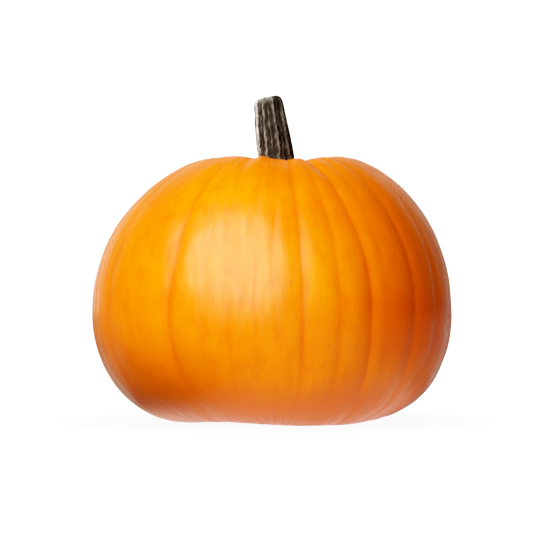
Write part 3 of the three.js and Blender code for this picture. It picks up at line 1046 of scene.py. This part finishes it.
world = bpy.data.worlds.new("studio")
world.use_nodes = True
world.node_tree.nodes.clear()
start = Wire(world.node_tree)
direction = start.make("ShaderNodeTexCoord", {}, {}, "Generated")
behind = direction.part("Y").between(*SWEEP_BACK)
rightward = direction.part("X").between(*SWEEP_SIDES)
upward = direction.part("Z").between(*SWEEP_TOP)
sweep = SWEEP_LEFT + (SWEEP_RIGHT - SWEEP_LEFT) * rightward
sweep = sweep + upward * (SWEEP_TOP_LEFT + (SWEEP_TOP_RIGHT - SWEEP_TOP_LEFT) * rightward)
light = ROOM_BRIGHTNESS + sweep * behind
seen = start.make("ShaderNodeLightPath", {}, {}, "Is Camera Ray")
brightness = light + seen * (SWEEP_SEEN - light)
sky = start.make("ShaderNodeBackground", {}, {"Color": brightness, "Strength": 1})
start.make("ShaderNodeOutputWorld", {}, {"Surface": sky})
bpy.context.scene.world = world
print("world nodes:", len(world.node_tree.nodes))

# %% [markdown]
# The floor is one plain sheet, a hair below the pumpkin. Light that comes back from it makes the
# underside glow. A white sheet lit by the boxes would do, but its share would change with each of them,
# so this floor is grey and glows by itself: most right under the fruit, less towards both sides. Three
# soft patches round the foot are dimmer or brighter, which shades the lower edge as in the picture.

# %% Glow of the floor
FLOOR_GLOW_UNDER = 0.76
FLOOR_GLOW_ROUND = 0.42
FLOOR_GLOW_LEFT = 0.22
FLOOR_GLOW_RIGHT = 0.36
GLOW_UNDER = (0.2, 0.1)
GLOW_LEFT = (-0.16, -0.4)
GLOW_RIGHT = (0.16, 0.3)

FloorPatch = namedtuple("FloorPatch", "dimmed aside depth distance")
FLOOR_PATCHES = [
    FloorPatch(dimmed=0.84, aside=(-0.02, -0.09), depth=(0.055, -0.015), distance=(0.085, 0.12)),
    FloorPatch(dimmed=0.6, aside=(0.06, 0.1), depth=(-0.06, -0.01), distance=(0.22, 0.16)),
    FloorPatch(dimmed=-0.38, aside=(0.07, 0.13), depth=(0.02, -0.06), distance=(0.45, 0.25)),
]


def floor_glow(place, distance):
    aside, depth = place.part("X"), place.part("Y")
    glow = FLOOR_GLOW_ROUND + (FLOOR_GLOW_LEFT - FLOOR_GLOW_ROUND) * aside.between(*GLOW_LEFT)
    glow = glow + (FLOOR_GLOW_RIGHT - FLOOR_GLOW_ROUND) * aside.between(*GLOW_RIGHT)
    glow = glow + (FLOOR_GLOW_UNDER - FLOOR_GLOW_ROUND) * distance.between(*GLOW_UNDER)
    kept = 1
    for patch in FLOOR_PATCHES:
        inside = aside.between(*patch.aside) * depth.between(*patch.depth)
        kept = kept - patch.dimmed * inside * distance.between(*patch.distance)
    return glow * kept


print("floor patches:", len(FLOOR_PATCHES))

# %% [markdown]
# To the camera the floor is white too, and only a shade less so close to the foot: a painted contact
# shadow on top of the real one. It is stage, not a piece of the pumpkin.

# %% Floor
FLOOR_SIZE = 60
FLOOR_DROP = 0.2
FLOOR_GREY = (0.12, 0.12, 0.12, 1)
FLOOR_ROUGHNESS = 0.9
# Near the foot the camera sees the floor a little darker: a painted contact shadow.
FLOOR_SEEN_SHADOWED = 1.07
FLOOR_SEEN_FAR = 1.5
SEEN_FADE = (0.12, 0.24)


def floor_material():
    material, start = new_material("white_floor")
    place = start.make("ShaderNodeTexCoord", {}, {}, "Object")
    distance = start.make("ShaderNodeVectorMath", {"operation": "LENGTH"}, {0: place}, "Value")
    glow = floor_glow(place, distance)
    white = FLOOR_SEEN_SHADOWED + (FLOOR_SEEN_FAR - FLOOR_SEEN_SHADOWED) * distance.between(*SEEN_FADE)
    seen = start.make("ShaderNodeLightPath", {}, {}, "Is Camera Ray")
    sockets = {
        "Base Color": FLOOR_GREY,
        "Roughness": FLOOR_ROUGHNESS,
        "Specular IOR Level": 0,
        "Emission Color": glow + seen * (white - glow),
        "Emission Strength": 1,
    }
    finish_material(start, sockets)
    return material


floor_shape = bmesh.new()
bmesh.ops.create_grid(floor_shape, x_segments=1, y_segments=1, size=FLOOR_SIZE / 2)
bmesh.ops.translate(floor_shape, vec=(0, 0, -FLOOR_DROP * MM), verts=floor_shape.verts)
floor = finished_piece("floor", floor_shape)
floor.data.materials.append(floor_material())
print("floor nodes:", len(floor.data.materials[0].node_tree.nodes))

# %% [markdown]
# ## The tones of the picture
# A developed photograph has more contrast than the light itself. Changing the lights for that would
# spoil their balance, so the Standard view keeps the colours as they are, and one curve over all three
# channels deepens the shadows, lifts the middle tones and rolls the lights off gently to white.

# %% Tone curve
ALL_CHANNELS = 3
TONE_WHITE = 1.4
TONES = ((0.03, 0.003), (0.06, 0.022), (0.1, 0.06), (0.25, 0.27), (0.5, 0.57), (0.75, 0.79), (1, 0.92))

view = bpy.context.scene.view_settings
view.view_transform = "Standard"
view.use_curve_mapping = True
view.curve_mapping.white_level = (TONE_WHITE, TONE_WHITE, TONE_WHITE)
tone_curve = view.curve_mapping.curves[ALL_CHANNELS]
for light_in, light_out in TONES:
    tone_curve.points.new(light_in / TONE_WHITE, light_out)
view.curve_mapping.update()
print("tone curve points:", len(tone_curve.points))

# %% [markdown]
# ## The size
# The dressed pumpkin must keep the size of the solids.
